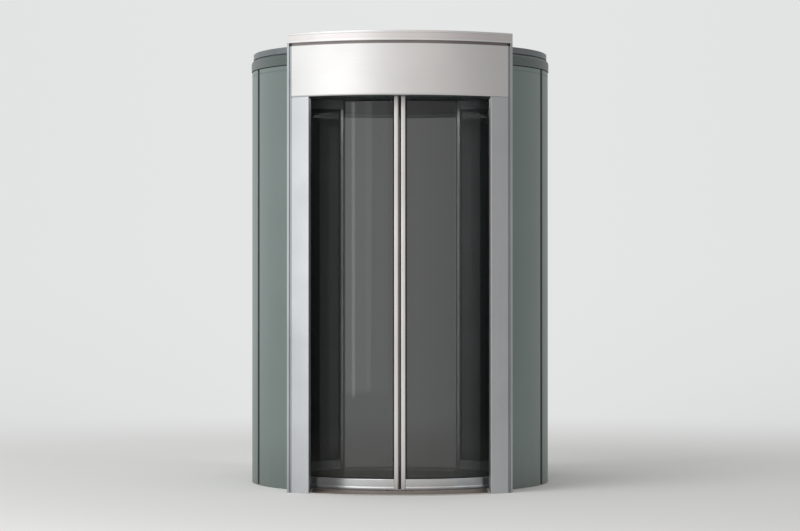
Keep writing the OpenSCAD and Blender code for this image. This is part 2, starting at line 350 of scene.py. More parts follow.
def build_tread(tree, given):
    """Ribbed plate between two circles; its ribs fan from the drum's curve to the portal face's."""
    rows = calc(tree, "MULTIPLY_ADD", given["Ribs"], 4.0, 1.0)
    grid = add(tree, "GeometryNodeMeshGrid", {
        "Size X": 2.0, "Size Y": 1.0, "Vertices X": 61, "Vertices Y": rows})
    at = add(tree, "SeparateXYZ", {0: add(tree, "GeometryNodeInputPosition")})
    x = calc(tree, "MULTIPLY", at.outputs["X"], given["Half Width"])
    v = calc(tree, "ADD", at.outputs["Y"], 0.5)
    x2 = calc(tree, "MULTIPLY", x, x)
    arcs = []
    for radius in ("Face Radius", "Back Radius"):
        r2 = calc(tree, "MULTIPLY", given[radius], given[radius])
        rest = calc(tree, "SUBTRACT", r2, x2)
        arcs.append(calc(tree, "SQRT", rest))
    front = calc(tree, "SUBTRACT", given["Face Centre"], arcs[0])
    back = calc(tree, "MULTIPLY", arcs[1], -1.0)
    y = add(tree, "Mix", {"Factor_Float": v, "A_Float": front, "B_Float": back})
    wave = calc(tree, "MULTIPLY", v, given["Ribs"])
    phase = calc(tree, "MULTIPLY", wave, 2 * math.pi)
    rib = calc(tree, "COSINE", phase)
    drop = calc(tree, "MULTIPLY", given["Rib Height"], -0.5)
    z = calc(tree, "MULTIPLY_ADD", rib, drop, given["Middle Height"])
    spot = add(tree, "CombineXYZ", {"X": x, "Y": y, "Z": z})
    top = add(tree, "GeometryNodeSetPosition", {"Geometry": grid, "Position": spot})
    fall = add(tree, "CombineXYZ", {"Z": given["Fall"]})
    sides = add(tree, "GeometryNodeExtrudeMesh", {"Mesh": top, "Offset": fall, "Individual": False})
    lid = add(tree, "GeometryNodeFlipFaces", {0: top})
    both = add(tree, "GeometryNodeJoinGeometry")
    tree.links.new(sides.outputs[0], both.inputs[0])
    tree.links.new(lid.outputs[0], both.inputs[0])
    return add(tree, "GeometryNodeMergeByDistance", {0: both, "Distance": 1e-5})


tread_tree = size_tree(
    "ribbed tread plate", build_tread,
    ("Half Width", "Face Radius", "Face Centre", "Back Radius", "Rib Height", "Middle Height",
     "Fall"), ("Ribs",))


def build_screw(tree, given):
    """Flat screw heads with a hexagon socket, one upright on each point."""
    head = add(tree, "GeometryNodeMeshCylinder", {
        "Vertices": 20, "Radius": given["Head Radius"], "Depth": given["Head Height"]})
    socket_r = calc(tree, "MULTIPLY", given["Head Radius"], 0.48)
    hexagon = add(tree, "GeometryNodeMeshCylinder", {
        "Vertices": 6, "Radius": socket_r, "Depth": given["Head Height"]})
    lift = calc(tree, "MULTIPLY", given["Head Height"], 0.3)
    raised = add(tree, "CombineXYZ", {"Z": lift})
    moved = add(tree, "GeometryNodeTransform", {"Geometry": hexagon, "Translation": raised})
    cut = add(tree, "GeometryNodeMeshBoolean", {
        "Mesh 1": head, "Mesh 2": moved}, operation="DIFFERENCE", solver="EXACT")
    return add(tree, "GeometryNodeInstanceOnPoints", {"Points": given["Geometry"], "Instance": cut})


screw_tree = size_tree("socket screws on points", build_screw, ("Head Radius", "Head Height"))


def screws(name, spots, head_r=0.0042, head_h=0.0012):
    """Screws on the given points of the casing."""
    start = bpy.data.meshes.new(name + "_points")
    start.from_pydata(spots, [], [])
    grown(name, "casing", screw_tree, {"Head Radius": head_r, "Head Height": head_h},
          screw_steel, start)


def build_tread_finish(tree, place):
    """Bronze anodised tread, scuffed grey in the walking line, darkened towards the jambs by
    painted shade.
    """
    wear = noise(tree, place, 9.0, 6.0)
    aside = calc(tree, "ABSOLUTE", axis(tree, place, "X"))
    # Painted shade: the tread turns dark grey-brown towards the jambs, where they shade it.
    ends = remap(tree, aside, (0.50, 0.62), interpolation_type="SMOOTHSTEP")
    scuff = shade(tree, wear, "#7d6f67", "#968f88")
    scuff_and_painted_shade = shade(tree, ends, scuff, "#504a45")
    fine = noise(tree, place, 260.0)
    grit = add(tree, "Bump", {"Strength": 0.2, "Distance": 0.0005, "Height": fine})
    return {"Base Color": scuff_and_painted_shade, "Metallic": 0.45, "Roughness": 0.55, "Normal": grit}


tread_finish = finish_with("worn bronze anodised tread plate", build_tread_finish)
# Screw heads: small hard sparks, greyed by floor dirt.
screw_steel = metal("stainless screw head", "#a9aaa8", "#80817f", 0.3, (300, 300, 300), film=0.3)
# Sill frame: pale but dull, so that it edges the darker tread with a soft line.
sill_metal = metal("mill finish aluminium sill", "#c9c7c4", "#b0ada9", 0.42,
                   (6, 300, 300), metallic=0.5, film=0.2)

for side in SIDES:
    smooth_copy(side + "_floor_ring", stainless)
for end in ENDS:
    flip = -1 if end == "rear" else 1
    smooth_copy(end + "_threshold", sill_metal)
    tread = grown(end + "_sill_tread_plate", "casing", tread_tree, {
        "Half Width": TREAD_X, "Face Radius": TREAD_FACE, "Face Centre": FACE_CY,
        "Back Radius": TREAD_BACK, "Ribs": RIBS, "Rib Height": RIB_H,
        "Middle Height": SILL_TOP - 0.0008, "Fall": -TREAD_T}, tread_finish)
    if end == "rear":
        for vertex in tread.data.vertices:
            vertex.co.y = -vertex.co.y
        tread.data.flip_normals()
    spots = [polar(SILL_SCREW_R, k * SILL_SCREW_STEP) for k in range(-4, 5)]
    for x in (k * RIM_SCREW_STEP for k in range(-4, 5)):
        spots.append((x, FACE_CY - math.sqrt(RIM_SCREW_R ** 2 - x * x)))
    screws(end + "_sill_screws", [(x, flip * y, SILL_TOP) for x, y in spots])
# The rings lie at the sides only; the thresholds take over in the doorways.
turns = [(k + 0.5) * 360 / RING_SCREWS for k in range(RING_SCREWS)]
spots = [(*polar(r, a), SILL_TOP) for a in turns for r in RING_SCREW_R
         if abs(math.sin(a * DEG)) > RING_SIDE]
screws("floor_ring_screws", spots)


# Side walls
# Two curved sandwich panels on each quarter, with a shadow joint between them,
# in front of a dark inner lining. A rolled rim band caps the panels.

DRUM_R = 1.0875
PANEL_IN = 1.0625
LINING_IN = 1.0175
RIM_R = 1.0925
RIM_Z = 3.003
RIM_TOP = 3.084
RIM_ROUND = 0.028
POST_X = 0.770
ROOF_Z = 3.078
# The sunk joint: its angle, half widths beside its middle, and depths below the panels' face.
JOINT_AT = 70
JOINT_HALF, CHANNEL_HALF, LIP_HALF = 0.025, 0.0246, 0.020
JOINT_D, LIP_D = 0.010, 0.006
# Half the gap where the front and the rear panels meet.
MEETING_HALF = 0.003
# A groove runs round the panels under the rim, with sides that slope by GROOVE_EASE.
GROOVE, GROOVE_EASE = 0.003, 0.0003
GROOVE_Z = RIM_Z - 0.038
PANEL_TOP = RIM_Z - 0.004
TOP_EASE = 0.002
# The lining's sheets: half the gap between two in degrees, and the size of their eased edges.
SHEETS = 3
SHEET_GAP, SHEET_EASE_A, SHEET_EASE = 0.15, 0.15, 0.002


def between(a, b, steps):
    """Even steps from a to b."""
    return [a + (b - a) * k / steps for k in range(steps + 1)]


def eased(corners, steps=4):
    """Closed outline with its corners rounded; one is (u, v) if left sharp, or (u, v, radius)."""
    outline = []
    for k, corner in enumerate(corners):
        p = Vector(corner[:2])
        if len(corner) < 3:
            outline.append(tuple(p))
            continue
        a = (Vector(corners[k - 1][:2]) - p).normalized()
        b = (Vector(corners[(k + 1) % len(corners)][:2]) - p).normalized()
        half = a.angle(b) / 2
        centre = p + (a + b).normalized() * corner[2] / math.sin(half)
        start = p + a * corner[2] / math.tan(half) - centre
        stop = p + b * corner[2] / math.tan(half) - centre
        turned = start.angle_signed(stop)
        for i in range(steps + 1):
            c, s = math.cos(-turned * i / steps), math.sin(-turned * i / steps)
            outline.append((centre.x + start.x * c - start.y * s,
                            centre.y + start.x * s + start.y * c))
    return outline


def angle_at(x, r):
    """Angle in degrees at which the circle of radius r passes x."""
    return math.degrees(math.asin(x / r))


def upright(outline, levels):
    """Solid that stands on a plan outline; levels are (height, outline) or plain heights."""
    rows = [(z, outline) if isinstance(z, (int, float)) else z for z in levels]
    return skin([[(x, y, z) for x, y in plan] for z, plan in rows])


def turn(solids, side, end):
    """Solids of the front right quarter as their left or rear twins."""
    sx, sy = (-1 if side == "left" else 1), (-1 if end == "rear" else 1)
    return [([(sx * x, sy * y, z) for x, y, z in points], faces) for points, faces in solids]


def coating(name, light, dark, film):
    """Satin powder coat on aluminium: fine orange peel, faint clouding, dust at the foot."""
    def build(tree, place):
        cloud = noise(tree, place, 1.7, 5.0)
        tone = shade(tree, cloud, dark, light)
        stretch = add(tree, "Mapping", {"Vector": place, "Scale": (30, 30, 1.2)})
        run = noise(tree, stretch, 1.0, 3.0)
        foot = remap(tree, axis(tree, place, "Z"), (0.0, 0.35), (film, 0.04))
        streak = calc(tree, "MULTIPLY", run, foot)
        used = shade(tree, streak, tone, "#5e5a52")
        peel = noise(tree, place, 330.0)
        bump = add(tree, "Bump", {"Strength": 0.05, "Distance": 0.0005, "Height": peel})
        matt = remap(tree, cloud, new=(0.40, 0.52))
        return {"Base Color": used, "Metallic": 0.55, "Roughness": matt, "Normal": bump}
    return finish_with(name, build)


def beside(x, middle=JOINT_AT):
    """Upright edge that keeps x metres beside an angle, as a function of the radius."""
    return lambda r: middle + angle_at(x, r)


def panel_plan(starts, stops, outer, inner=PANEL_IN, ease=0.0025, steps=22):
    """Curved strip in plan; starts and stops give the end angle at a radius."""
    out = [polar(outer, a) for a in between(starts(outer), stops(outer), steps)]
    back = [polar(inner, a) for a in between(stops(inner), starts(inner), steps)]
    return eased([(*out[0], ease)] + out[1:-1] + [(*out[-1], ease)] + back)


# Grey-green metallic coat: reads as satin metal with a cool green cast. It is darker than the coat
# alone would be: painted shade of the drum's sides.
wall_coat_with_painted_shade = coating("grey-green metallic coated aluminium", "#808c89", "#727e7b", 0.5)
# Dark slate coat inside: swallows light, so that the doorway stays dark. Part of its darkness is
# painted shade of the drum's inside and of the undersides it also covers.
lining_coat_with_painted_shade = coating("dark slate coated sheet, darkened as painted shade", "#5a6867", "#4c5958", 0.3)
# Darker coat in the channel of the sunk joint, which reads as a dark upright band.
joint_lining = coating("dark coated channel of the sunk joint", "#434b49", "#373e3c", 0.3)

panel_edges = [(beside(POST_X, 0), beside(-JOINT_HALF)),
               (beside(JOINT_HALF), beside(-MEETING_HALF, 90))]
channel = panel_plan(beside(-CHANNEL_HALF), beside(CHANNEL_HALF), DRUM_R - JOINT_D, steps=6)
lips = [panel_plan(beside(s * CHANNEL_HALF), beside(s * LIP_HALF), DRUM_R - LIP_D,
                   DRUM_R - JOINT_D - 0.0005, 0.001, 3) for s in (-1, 1)]
for side in SIDES:
    for end in ENDS:
        solids = []
        for starts, stops in panel_edges:
            plain = panel_plan(starts, stops, DRUM_R)
            sunk = panel_plan(starts, stops, DRUM_R - GROOVE)
            top = panel_plan(starts, stops, DRUM_R - TOP_EASE)
            solids.append(upright(plain, [
                0.0, GROOVE_Z, (GROOVE_Z + GROOVE_EASE, sunk),
                (GROOVE_Z + GROOVE - GROOVE_EASE, sunk), GROOVE_Z + GROOVE,
                PANEL_TOP - TOP_EASE, (PANEL_TOP, top)]))
        piece(f"{side}_{end}_curved_wall_panels", "casing", wall_coat_with_painted_shade, turn(solids, side, end),
              [f"{side}_{end}_wall_panels"])
        solids = [upright(plan, [0.0, PANEL_TOP - 0.001]) for plan in (channel, *lips)]
        piece(f"{side}_{end}_sunk_joint_channel", "casing", joint_lining,
              turn(solids, side, end))
    solids = []
    first = angle_at(POST_X, LINING_IN)
    span = (180 - 2 * first) / SHEETS
    for k in range(SHEETS):
        a0, *middle, a1 = between(first + span * k, first + span * (k + 1), 28)
        a0 += SHEET_GAP if k > 0 else 0
        a1 -= SHEET_GAP if k < SHEETS - 1 else 0
        inner = [(LINING_IN + SHEET_EASE, a0), (LINING_IN, a0 + SHEET_EASE_A),
                 *((LINING_IN, a) for a in middle),
                 (LINING_IN, a1 - SHEET_EASE_A), (LINING_IN + SHEET_EASE, a1)]
        outer = [(PANEL_IN - 0.001, a) for a in (a1, *reversed(middle), a0)]
        solids.append(upright([polar(r, a) for r, a in inner + outer], [0.0, ROOF_Z]))
    piece(side + "_inner_lining_sheets", "casing", lining_coat_with_painted_shade, turn(solids, side, "front"),
          [side + "_wall_lining"])

# Rim coat: the panels' colour a tone darker, as painted shade on the rolled edge.
rim_coat_with_painted_shade = coating("grey-green coated rim band, darkened as painted shade", "#646e6c", "#59625f", 0.1)
rim_profile = eased([(PANEL_IN, RIM_Z), (RIM_R - 0.0015, RIM_Z), (RIM_R, RIM_Z + 0.002, 0.001),
                     (RIM_R, RIM_TOP, RIM_ROUND), (PANEL_IN, RIM_TOP)], 10)
rows = []
for share in between(0, 1, 140):
    edges = [(r, angle_at(POST_X, r), z) for r, z in rim_profile]
    rows.append([(*polar(r, a + (180 - 2 * a) * share), z) for r, a, z in edges])
for side in SIDES:
    piece(side + "_rolled_rim_band", "casing", rim_coat_with_painted_shade, turn([skin(rows)], side, "front"),
          [side + "_wall_rim"])


# Portals
# Each portal is a casing of folded satin anodised sheet with one convex face:
# two jambs, a curved header over them, slim posts at the corners and a crown
# band above a dark recess. The pieces meet in open shadow joints.

DOOR_X = 0.630
JAMB_X = 0.754
CLEAR_H = 2.753
HEAD_TOP = 3.108
NECK_TOP = 3.128
CROWN_TOP = 3.197
# Insets from the portal face; the crown stands out in front of it.
SEAM_D, STRIP_D, BACKING_D = 0.012, 0.006, 0.025
CROWN_D, CROWN_SUNK_D, CROWN_BACK_D = -0.006, -0.002, 0.054
SEAM = 0.004
FOLD = 0.003
STRIP_GAP = 0.0015
# A nick in the post's outer side: where it starts and ends behind the corner, and its depth.
NICK, NICK_D, NICK_EASE = (0.014, 0.017), 0.002, 0.0005
LIP = 0.015
CHANNEL_T = 0.0015


def face_y(x, inset=0.0):
    """Y of the convex portal face at x."""
    return FACE_CY - math.sqrt((FACE_R - inset) ** 2 - x * x)


def band(profile, half_w, steps=72):
    """Sweeps a profile of (inset, height) along the portal face between two upright planes."""
    rows = []
    for share in between(-1, 1, steps):
        row = []
        for inset, z in profile:
            x, y = polar(FACE_R - inset, math.degrees(math.asin(half_w / (FACE_R - inset))) * share)
            row.append((x, FACE_CY + y, z))
        rows.append(row)
    return skin(rows)


def face_run(x0, x1, inset=0.0, steps=10):
    """Points of the portal face in plan from x0 to x1."""
    return [(x, face_y(x, inset)) for x in between(x0, x1, steps)]


def drum_run(x0, x1, r, steps=6):
    """Points of a circle about the drum's axis in plan from x0 to x1, on the front side."""
    return [(x, -math.sqrt(r * r - x * x)) for x in between(x0, x1, steps)]


UPRIGHT, LEVEL = (260, 260, 1.2), (1.5, 1.5, 260)
# Satin anodised sheet: pale silver with a wide soft highlight along its grain.
jamb_metal = metal("satin anodised aluminium, upright grain", "#c4c6c8", "#babcbe", 0.40,
                   UPRIGHT, film=0.02)
header_metal = metal("satin anodised aluminium, level grain", "#d6d5d4", "#cfcecd", 0.42, LEVEL)
# Cover profiles, a shade darker each: they part the wide faces with thin upright lines.
post_metal = metal("anodised aluminium cover post", "#b4b8bb", "#a9adb0", 0.38, UPRIGHT)
joint_metal = metal("anodised aluminium joint strip", "#a3a7aa", "#989c9f", 0.42, UPRIGHT)
# Crown: the palest sheet, paler than the header as painted light where the band stands out, with a
# channel as pale between its lips, so that only they draw lines.
channel_metal = metal("anodised aluminium channel strip", "#d6d2d0", "#ccc8c6", 0.40, LEVEL)
crown_metal_with_painted_light = metal("satin anodised aluminium crown sheet", "#dad9d8", "#d3d2d1", 0.42, LEVEL)
# Recess under the crown: dull brown-grey, darkened as painted shade under the crown, a dark line
# between two bright bands.
recess_metal_with_painted_shade = metal("brown-grey recess sheet, darkened as painted shade", "#8c8583", "#7d7775", 0.45, LEVEL)

for end in ENDS:
    for side in SIDES:
        face = face_run(DOOR_X, JAMB_X)
        tongue = face_run(JAMB_X, POST_X, SEAM_D, 4)
        back = drum_run(POST_X, DOOR_X, LINING_IN)
        low = eased([(*face[0], FOLD), *face[1:-1], (*face[-1], FOLD), *tongue, *back])
        high = (face_run(DOOR_X + 0.001, POST_X, SEAM_D)
                + drum_run(POST_X, DOOR_X + 0.001, LINING_IN))
        solids = [upright(low, [0.0, CLEAR_H - SEAM]),
                  upright(high, [CLEAR_H - SEAM - 0.0005, CLEAR_H])]
        piece(f"{end}_{side}_jamb_casing", "casing", jamb_metal, turn(solids, side, end),
              [f"{end}_{side}_jamb"])
        x0, x1 = JAMB_X + STRIP_GAP, POST_X - STRIP_GAP
        strip = eased([(x0, face_y(JAMB_X, SEAM_D) + 0.0005), (x0, face_y(x0, STRIP_D), 0.001),
                       (x1, face_y(x1, STRIP_D), 0.001), (x1, face_y(POST_X, SEAM_D) + 0.0005)])
        solids = [upright(strip, [0.0, HEAD_TOP - 0.001])]
        piece(f"{end}_{side}_post_joint_strip", "casing", joint_metal, turn(solids, side, end))
        y0, y1 = (face_y(PORTAL_X) + behind for behind in NICK)
        nose = [(POST_X, face_y(POST_X), FOLD), (PORTAL_X, face_y(PORTAL_X), FOLD),
                (PORTAL_X, y0), (PORTAL_X - NICK_D, y0 + NICK_EASE),
                (PORTAL_X - NICK_D, y1 - NICK_EASE), (PORTAL_X, y1)]
        low = eased(nose + drum_run(PORTAL_X, POST_X, DRUM_R))
        high = eased(nose + drum_run(PORTAL_X, POST_X, RIM_R))
        solids = [upright(low, [0.0, RIM_Z - 0.001, (RIM_Z, high), (NECK_TOP, high)])]
        piece(f"{end}_{side}_corner_post", "casing", post_metal, turn(solids, side, end),
              [f"{end}_{side}_post"])
    fascia = eased([(0.004, CLEAR_H, 0.001), (0.0, CLEAR_H + 0.008, 0.002), (0.0, HEAD_TOP, FOLD),
                    (SEAM_D + 0.0005, HEAD_TOP), (SEAM_D + 0.0005, CLEAR_H)])
    backing = [(SEAM_D, CLEAR_H), (SEAM_D, HEAD_TOP - 0.0002),
               (BACKING_D, HEAD_TOP - 0.0002), (BACKING_D, CLEAR_H)]
    piece(end + "_curved_header", "casing", header_metal,
          turn([band(fascia, JAMB_X), band(backing, POST_X)], "right", end),
          [end + "_header"])
    smooth_copy(end + "_soffit", lining_coat_with_painted_shade)
    smooth_copy(end + "_neck", recess_metal_with_painted_shade)
    low_lip, high_lip = NECK_TOP + LIP, CROWN_TOP - LIP
    crown = eased([(CROWN_D, NECK_TOP, 0.003), (CROWN_D, low_lip, 0.002),
                   (CROWN_SUNK_D, low_lip), (CROWN_SUNK_D, high_lip),
                   (CROWN_D, high_lip, 0.002), (CROWN_D, CROWN_TOP, 0.004),
                   (CROWN_BACK_D, CROWN_TOP, 0.002), (CROWN_BACK_D, NECK_TOP)])
    piece(end + "_crown_band_sheet", "casing", crown_metal_with_painted_light,
          turn([band(crown, PORTAL_X)], "right", end), [end + "_crown_band"])
    z0, z1 = low_lip + CHANNEL_T, high_lip - CHANNEL_T
    strip = [(CROWN_SUNK_D - CHANNEL_T, z0), (CROWN_SUNK_D - CHANNEL_T, z1),
             (CROWN_SUNK_D, z1), (CROWN_SUNK_D, z0)]
    piece(end + "_crown_channel_strip", "casing", channel_metal,
          turn([band(strip, PORTAL_X - 0.001)], "right", end))


# Ceiling, ring rail and roof
# A round pan under the roof hides the drive; the galvanised ring rail is bolted
# up through the roof deck, which is zinc sheet with cover strips and a
# clamping ring screwed down round its edge.

DECK = NECK_TOP
CAP_R, CAP_TOP_R, CAP_SCREW_R = 0.125, 0.121, 0.108
CAP_EDGE, CAP_TOP = 0.004, 0.006
RING_IN, RING_OUT, RING_T = 1.045, 1.074, 0.003
COVER_RUN = (0.13, 1.04)
PAN_Z, PAN_R = 2.868, 0.905
HUB_R, HUB_D = 0.16, 0.003


def spoke(a, section, z, r0, r1):
    """Straight strip that runs outwards at one angle; its section is (sideways, above z)."""
    u, v = Vector(polar(1.0, a)), Vector(polar(1.0, a + 90))
    return skin([[(*(u * r + v * w), z + h) for w, h in section] for r in (r0, r1)])


# Galvanised rail: mid grey with soft mottling, dimly seen above the leaves.
galvanised = metal("galvanised steel rail", "#a3a6a8", "#7f8284", 0.5, (40, 40, 40), film=0.0)
# Weathered zinc: dull blue-grey with broad clouds.
zinc = metal("pre-weathered zinc roof sheet", "#898e90", "#7b8082", 0.55, (12, 12, 12), film=0.0)
smooth_copy("ceiling", lining_coat_with_painted_shade)
smooth_copy("ring_rail", galvanised)
smooth_copy("roof", zinc)

cover = eased([(-0.018, 0.0), (-0.018, 0.003, 0.001), (-0.006, 0.003), (-0.004, 0.007, 0.001),
               (0.004, 0.007, 0.001), (0.006, 0.003), (0.018, 0.003, 0.001), (0.018, 0.0)])
clamp = eased([(RING_IN, DECK), (RING_IN, DECK + RING_T, 0.001),
               (RING_OUT, DECK + RING_T, 0.001), (RING_OUT, DECK)])
solids = [spoke(45 + 90 * k, cover, DECK, *COVER_RUN) for k in range(4)]
solids += [disc((CAP_R, DECK), (CAP_R, DECK + CAP_EDGE), (CAP_TOP_R, DECK + CAP_TOP)),
           turned_ring(clamp)]
piece("roof_cover_strips_and_clamping_ring", "casing", zinc, solids)
spots = [(*polar((RING_IN + RING_OUT) / 2, k * 7.5 + 3.75), DECK + RING_T) for k in range(48)]
spots += [(*polar(CAP_SCREW_R, k * 60.0), DECK + CAP_TOP) for k in range(6)]
screws("roof_screws", spots, head_r=0.006, head_h=0.003)

flat = [(-0.009, 0.0), (-0.007, -0.0015), (0.007, -0.0015), (0.009, 0.0)]
solids = [spoke(60 * k, flat, PAN_Z, HUB_R, PAN_R) for k in range(6)]
solids.append(disc((HUB_R, PAN_Z), (HUB_R - HUB_D, PAN_Z - HUB_D)))
piece("ceiling_joint_covers", "casing", joint_lining, solids)


# Leaves
# Each leaf is a quarter-circle frame of anodised profiles round one bent pane:
# rounded leading stile, level rails between, a wider trailing stile, dry glazing
# gaskets, a rubber nose at the meeting edge and brushes under the bottom rail.

LEAF_R = 0.958
LEAF_IN, LEAF_OUT = 0.936, 0.980
LEAF_Z = 0.020
RAIL_TOP = 0.090
HEAD_RAIL = 2.793
LEAF_TOP = 2.913
REAR_OPEN = 27.0
# Edge radii: the stiles' sides at the meeting line, at the pane and at the wall, and the rails'.
LEAD_EASE, PANE_EASE, TRAIL_EASE, RAIL_EASE = 0.009, 0.006, 0.008, 0.005
# The bottom rail's foot: a lip with a sloped top below the rail's set-back face.
FOOT_D = 0.003
LIP_TOP, SLOPE_TOP = LEAF_Z + 0.008, LEAF_Z + 0.017
PANE_IN, PANE_OUT = 0.953, 0.963
BITE = 0.006
GASKET_W = 0.009
GASKET_RUNS = ((PANE_OUT + 0.0002, PANE_OUT + 0.0075), (PANE_IN - 0.0002, PANE_IN - 0.0075))
NOSE_IN, NOSE_OUT = 0.945, 0.971
BRUSH_R, BRUSH_HALF, BRUSH_Z, BRUSH_DEPTH = (0.947, 0.969), 0.003, 0.0165, 0.0044
# Carriages: two side plates, a bridge over the leaf's top, and rollers on both sides of the rail.
PLATES = ((0.926, 0.931), (0.985, 0.990))
PLATE_HALF, PLATE_TOP = 0.055, 3.006
BRIDGE_T = 0.005
ROLLER_AT, ROLLER_Z, ROLLER_R, ROLLER_W = 0.030, 2.988, 0.011, 0.015
# Each roller's radius from the drum's axis, and its bolt's, inside and outside the rail.
ROLLER_ROWS = ((0.939, LEAF_R - 0.0325), (0.977, LEAF_R + 0.0325))
BOLT_R, BOLT_L = 0.005, 0.004
PIN_Z, PIN_R, PIN_L = 0.0122, 0.004, 0.0194
# Degrees from a leaf's ends in to its carriages and to its guide pins.
CARRIAGE_A, PIN_A = 8.0, 5.0


def arc_deg(length, r=LEAF_R):
    """Angle in degrees of an arc length."""
    return math.degrees(length / r)


# Angles from the meeting line to the nose, the leading stile and the trailing stile's sides.
NOSE_A = arc_deg(0.0004)
SEAL_A = arc_deg(0.0080)
STILE_A = arc_deg(0.0395)
TRAIL_A = angle_at(DOOR_X, LEAF_R) + arc_deg(0.060)
TRAIL_IN_A = TRAIL_A - arc_deg(0.040)


def curved(profile, a0, a1, steps=44):
    """Sweeps a profile of (radius, height) about the drum's axis from a0 to a1 degrees."""
    return skin([[(*polar(r, a), z) for r, z in profile] for a in between(a0, a1, steps)])


def stile(a0, a1, ease0, ease1, r0=LEAF_IN, r1=LEAF_OUT, steps=6):
    """Upright profile bent to the leaf's curve, with its own edge radius at each side."""
    out = [polar(r1, a) for a in between(a0, a1, steps)]
    back = [polar(r0, a) for a in between(a1, a0, steps)]
    corners = [(*out[0], ease0), *out[2:-2], (*out[-1], ease1),
               (*back[0], ease1), *back[2:-2], (*back[-1], ease0)]
    return upright(eased(corners, 5), [LEAF_Z, LEAF_TOP])


def block(a, r0, r1, z0, z1):
    """Carriage plate set square to the radius at one angle."""
    u, v = Vector(polar(1.0, a + 90)), Vector(polar(1.0, a))
    plan = [(-PLATE_HALF, r0), (PLATE_HALF, r0), (PLATE_HALF, r1), (-PLATE_HALF, r1)]
    return skin([[(*(u * x + v * r), z) for x, r in plan] for z in (z0, z1)])


def drum_pin(centre, along, r, length, steps=24):
    """Round pin or roller: centre point, axis direction, radius and length, with eased rims."""
    along = Vector(along).normalized()
    side = along.orthogonal().normalized()
    other = along.cross(side)
    spread = [side * math.cos(a) + other * math.sin(a) for a in full_turn(steps)]
    rows = []
    for where, share in ((-0.5, 0.86), (-0.44, 1.0), (0.44, 1.0), (0.5, 0.86)):
        middle = Vector(centre) + along * length * where
        rows.append([tuple(middle + out * r * share) for out in spread])
    return skin(rows)


def build_bristles(tree, given):
    """Rows of nylon hair along an arc, each leaning its own way."""
    line = add(tree, "GeometryNodeMeshLine", {"Count": given["Count"]})
    index = add(tree, "GeometryNodeInputIndex")
    share = calc(tree, "DIVIDE", index, given["Count"])
    turn_by = add(tree, "Mix", {
        "Factor_Float": share, "A_Float": given["Start Angle"], "B_Float": given["End Angle"]})
    spread = add(tree, "FunctionNodeRandomValue", {"Seed": given["Seed"]}, data_type="FLOAT")
    shift = calc(tree, "MULTIPLY_ADD", spread.outputs[1], given["Row Depth"], given["Radius"])
    x_share = calc(tree, "SINE", turn_by)
    y_share = calc(tree, "COSINE", turn_by)
    x = calc(tree, "MULTIPLY", x_share, shift)
    y = calc(tree, "MULTIPLY", y_share, shift)
    back = calc(tree, "MULTIPLY", y, -1.0)
    spot = add(tree, "CombineXYZ", {"X": x, "Y": back, "Z": given["Middle Height"]})
    points = add(tree, "GeometryNodeSetPosition", {"Geometry": line, "Position": spot})
    hair = add(tree, "GeometryNodeMeshCylinder", {
        "Vertices": 4, "Radius": given["Thickness"], "Depth": given["Length"]})
    lean = add(tree, "FunctionNodeRandomValue", data_type="FLOAT_VECTOR", inputs={
        "Min": (-0.16, -0.16, 0.0), "Max": (0.16, 0.16, 1.5), "Seed": given["Seed"]})
    tilt = add(tree, "FunctionNodeEulerToRotation", {0: lean})
    return add(tree, "GeometryNodeInstanceOnPoints", {
        "Points": points, "Instance": hair, "Rotation": tilt})


bristle_tree = size_tree(
    "brush bristles on an arc", build_bristles,
    ("Radius", "Row Depth", "Start Angle", "End Angle", "Middle Height", "Length", "Thickness"),
    ("Count", "Seed"))


def build_glass(tree, place):
    """Dark tinted laminated glass, its darkness partly painted shade of the dim drum behind it:
    clear to look through, with a breath of dust at the foot.
    """
    foot = remap(tree, axis(tree, place, "Z"), (0.09, 0.5), (0.5, 0.0))
    dust = noise(tree, place, 7.0, 6.0)
    film = calc(tree, "MULTIPLY", foot, dust)
    # The dark tint is partly painted shade of the dim inside behind the pane.
    tint = shade(tree, film, "#1f2423", "#5a5a54")
    solid = remap(tree, film, new=(0.71, 0.80))
    return {"Base Color": tint, "Roughness": 0.03, "IOR": 1.52, "Alpha": solid}


def build_rubber(tree, place):
    """EPDM rubber: charcoal, matt, a little chalky where it has weathered."""
    chalk = noise(tree, place, 35.0, 5.0)
    tone = shade(tree, chalk, "#161616", "#2b2b2a")
    matt = remap(tree, chalk, new=(0.55, 0.8))
    grit = add(tree, "Bump", {"Strength": 0.15, "Distance": 0.0005, "Height": chalk})
    return {"Base Color": tone, "Roughness": matt, "Normal": grit}


def build_nylon(tree, place):
    """Grey-brown nylon hair, paler with floor dust towards the tips."""
    tip = remap(tree, axis(tree, place, "Z"), (0.009, 0.019))
    speck = noise(tree, place, 60.0)
    mixed = calc(tree, "MULTIPLY", tip, speck)
    tone = shade(tree, mixed, "#7a7068", "#3a3634")
    return {"Base Color": tone, "Roughness": 0.5}


# Stiles are polished a little finer than the casing, so their rounded edges carry a bright line.
stile_metal = metal("fine satin anodised leaf profile, upright grain", "#dedbda", "#d0cdcc", 0.30,
                    (320, 320, 1.5))
rail_metal = metal("fine satin anodised leaf profile, level grain", "#d8dadb", "#cbcdce", 0.30,
                   (2, 2, 320), film=0.15)
glass = finish_with("dark tinted laminated glass", build_glass)
rubber = finish_with("black rubber gasket", build_rubber)
nylon = finish_with("dusty nylon brush hair", build_nylon)
# Blackened steel: keeps the carriages out of sight in the dark above the leaves.
black_steel = metal("blackened steel carriage", "#4a4b4d", "#3a3b3c", 0.45, (60, 60, 60), film=0.0)

